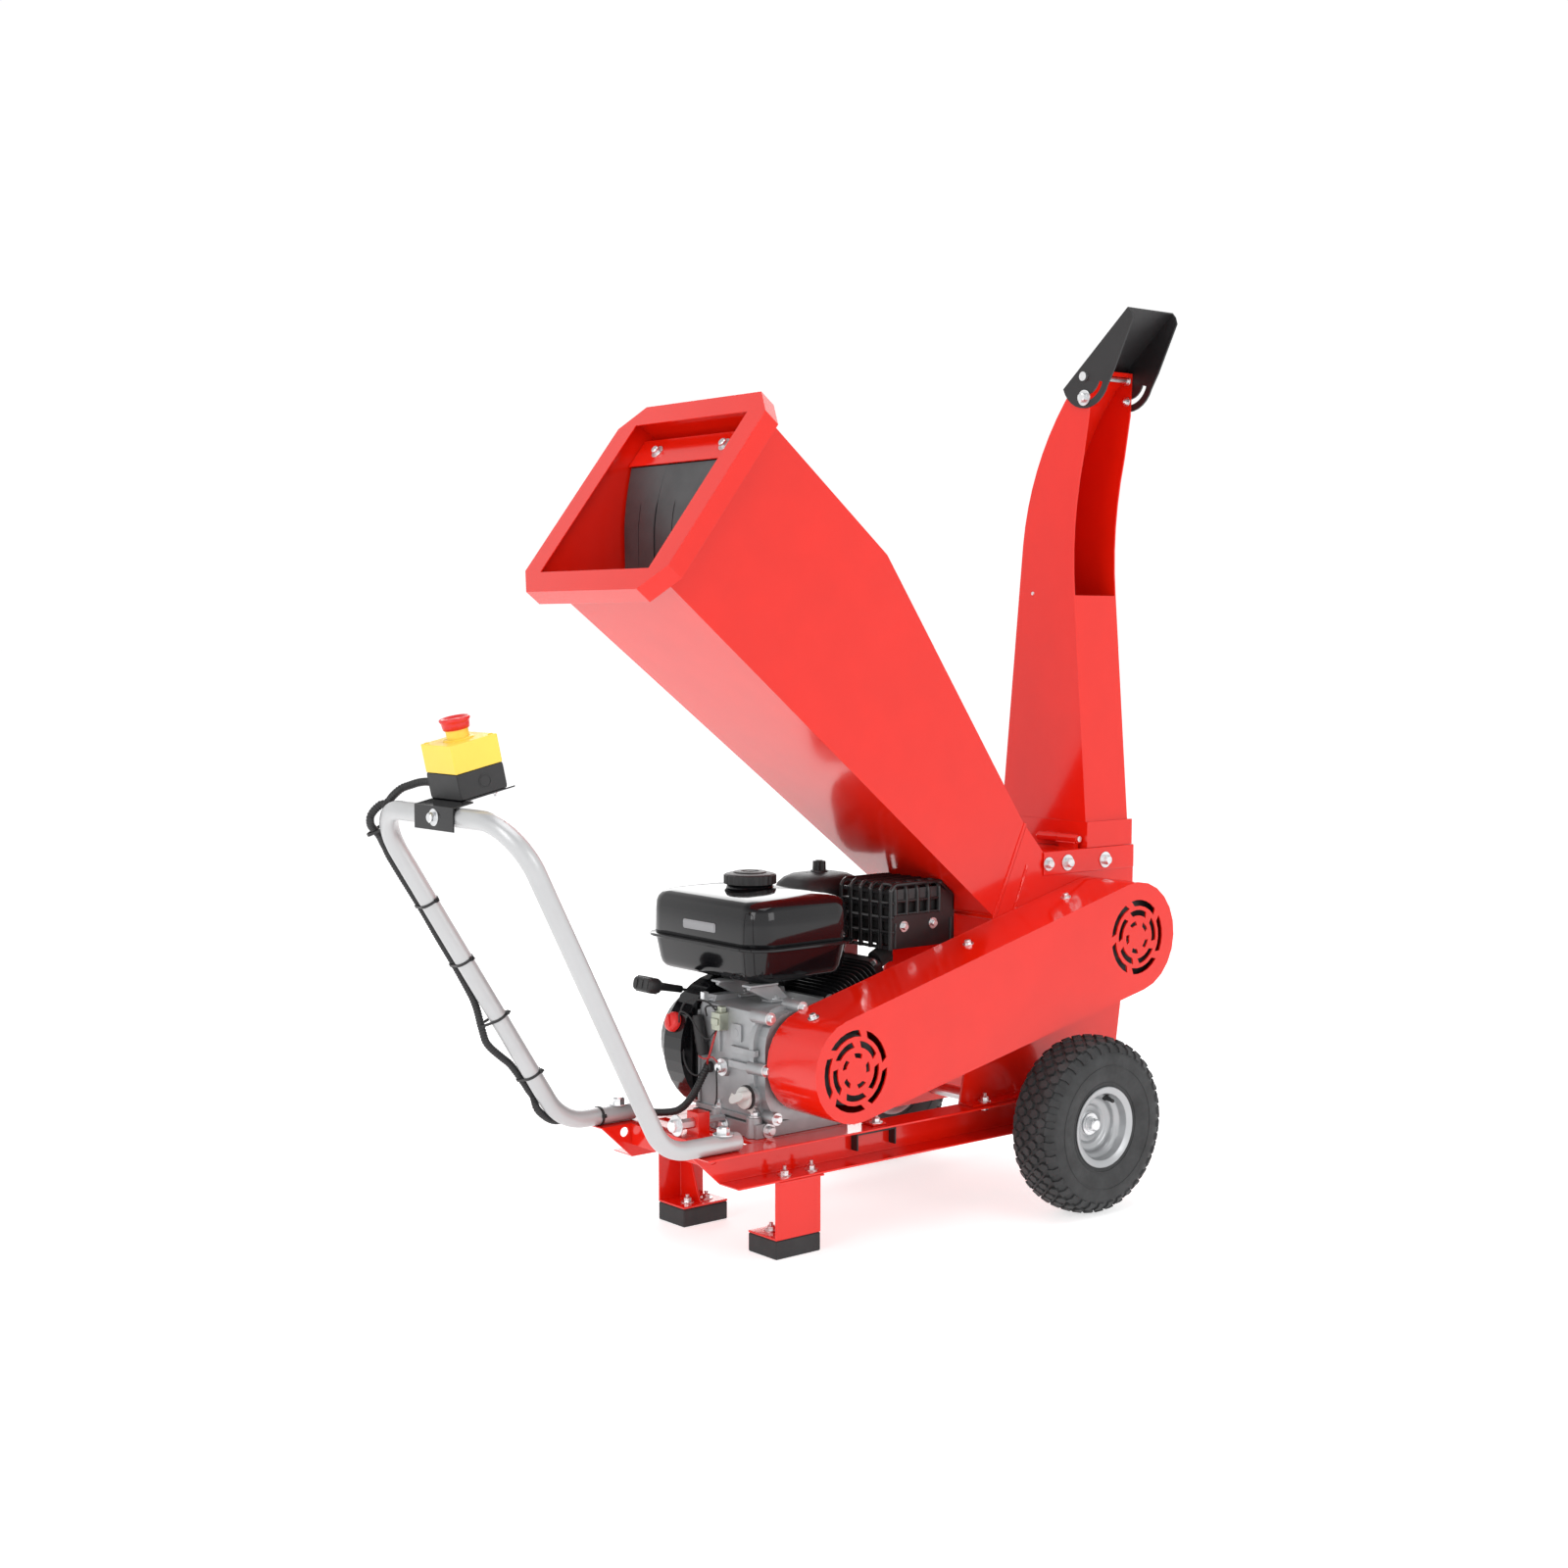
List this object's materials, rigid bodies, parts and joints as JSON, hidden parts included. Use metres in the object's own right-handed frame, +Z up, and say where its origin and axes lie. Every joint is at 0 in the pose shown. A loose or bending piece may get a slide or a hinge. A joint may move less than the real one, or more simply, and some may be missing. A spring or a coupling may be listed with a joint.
{
  "type": "wood chipper",
  "caption": "Petrol wood chipper on a wheeled chassis, with a sloping feed hopper, belt-driven rotor, tall hinged discharge chute, push handle and emergency stop.",
  "frame": {"origin": "on the floor under the middle of the whole machine", "axes": "+X towards the wheels and discharge chute, push handle at -X, belt guard on the -Y side, +Z up"},
  "size_m": [1.2039, 0.5322, 1.3226],
  "materials": {
    "red_powder_coat": "gloss",
    "black_steel": "satin",
    "black_gloss": "gloss",
    "black_plastic": "matte",
    "rubber": "matte",
    "tyre": "matte",
    "silver_paint": "gloss",
    "cast_aluminium": "satin",
    "zinc_steel": "satin",
    "yellow_plastic": "gloss",
    "red_plastic": "gloss",
    "ivory_plastic": "matte"
  },
  "bodies": {
    "chassis": {"rail_near": "red_powder_coat", "rail_far": "red_powder_coat", "engine_plate": "red_powder_coat", "front_crossmember": "red_powder_coat", "leg_near": "red_powder_coat", "leg_far": "red_powder_coat", "belt_guard": "red_powder_coat", "guard_backplate": "red_powder_coat", "rotor_housing": "red_powder_coat", "housing_strap": "red_powder_coat", "hopper": "red_powder_coat", "hopper_rim": "red_powder_coat", "flap_clamp": "red_powder_coat", "estop_bracket": "black_steel", "cylinder": "black_steel", "muffler": "black_steel", "muffler_guard": "black_steel", "fuel_tank": "black_gloss", "fan_cover": "black_gloss", "starter_cover": "black_gloss", "estop_base": "black_plastic", "estop_conduit": "black_plastic", "air_filter": "black_plastic", "foot_near": "rubber", "foot_far": "rubber", "v_belt_a": "rubber", "v_belt_b": "rubber", "handle": "silver_paint", "crankcase": "cast_aluminium", "crankcase_cover": "cast_aluminium", "cylinder_head": "cast_aluminium", "tank_bracket": "cast_aluminium", "carburettor": "cast_aluminium", "axle": "zinc_steel", "tensioner_bolt": "zinc_steel", "bearing_near": "zinc_steel", "bearing_far": "zinc_steel", "hinge_pin": "zinc_steel", "estop_cover": "yellow_plastic"},
    "wheel_near": {"rim_near": "silver_paint", "tyre_near": "tyre"},
    "wheel_far": {"rim_far": "silver_paint", "tyre_far": "tyre"},
    "rotor": {"rotor_drum": "zinc_steel", "knife_a": "zinc_steel", "knife_b": "zinc_steel", "rotor_pulley": "zinc_steel"},
    "crank": {"crankshaft": "zinc_steel", "clutch_pulley": "zinc_steel", "flywheel": "cast_aluminium"},
    "chute": {"chute": "red_powder_coat", "deflector_bolt": "zinc_steel"},
    "deflector": {"deflector": "black_steel"},
    "stop_button": {"estop_button": "red_plastic"},
    "fuel_cap": {"fuel_cap": "black_plastic"},
    "oil_cap": {"oil_filler_cap": "ivory_plastic"},
    "switch": {"engine_switch": "red_plastic"},
    "starter_pull": {"starter_grip": "black_plastic"},
    "throttle": {"throttle_lever": "zinc_steel"},
    "curtain": {"rubber_flap": "rubber"}
  },
  "joints": [
    {"name": "wheel_near_spin", "type": "hinge", "parent": "chassis", "child": "wheel_near", "pos_m": [0.36995, -0.2246, 0.13], "axis": [0, 1, 0], "continuous": true},
    {"name": "wheel_far_spin", "type": "hinge", "parent": "chassis", "child": "wheel_far", "pos_m": [0.36995, 0.2246, 0.13], "axis": [0, 1, 0], "continuous": true},
    {"name": "rotor_spin", "type": "hinge", "parent": "chassis", "child": "rotor", "pos_m": [0.49325, 0, 0.391], "axis": [0, 1, 0], "continuous": true},
    {"name": "crank_spin", "type": "hinge", "parent": "chassis", "child": "crank", "pos_m": [-0.06555, 0, 0.2605], "axis": [0, 1, 0], "continuous": true},
    {"name": "chute_tip", "type": "hinge", "parent": "chassis", "child": "chute", "pos_m": [0.48645, -0.05, 0.53], "axis": [0, -1, 0], "range_deg": [0, 38]},
    {"name": "deflector_tilt", "type": "hinge", "parent": "chute", "child": "deflector", "pos_m": [0.54515, -0.089, 1.2286], "axis": [1, 0, 0], "range_deg": [0, 72]},
    {"name": "stop_press", "type": "slide", "parent": "chassis", "child": "stop_button", "axis": [0.2164, 0, -0.9763], "range_m": [0, 0.005], "stiffness_N_per_m": 400},
    {"name": "fuel_cap_turn", "type": "hinge", "parent": "chassis", "child": "fuel_cap", "pos_m": [-0.02705, 0.067, 0.49], "axis": [0, 0, 1], "range_deg": [0, 90]},
    {"name": "oil_cap_turn", "type": "hinge", "parent": "chassis", "child": "oil_cap", "pos_m": [-0.13905, -0.075, 0.214], "axis": [-1, 0, 0], "range_deg": [0, 180]},
    {"name": "switch_turn", "type": "hinge", "parent": "chassis", "child": "switch", "pos_m": [-0.15827, 0.075, 0.29796], "axis": [-0.9272, 0, 0.3746], "range_deg": [0, 60]},
    {"name": "starter_slide", "type": "slide", "parent": "chassis", "child": "starter_pull", "axis": [-0.9781, 0, 0.2079], "range_m": [0, 0.06], "stiffness_N_per_m": 30},
    {"name": "throttle_turn", "type": "hinge", "parent": "chassis", "child": "throttle", "pos_m": [-0.10005, 0.03, 0.3335], "axis": [0, 0, 1], "range_deg": [-20, 20]},
    {"name": "curtain_swing", "type": "hinge", "parent": "chassis", "child": "curtain", "pos_m": [-0.18705, 0, 1.07181], "axis": [0, -1, 0], "range_deg": [0, 60]}
  ],
  "couplings": [
    {"joint": "crank_spin", "follows": "rotor_spin", "ratio": 1.4}
  ]
}
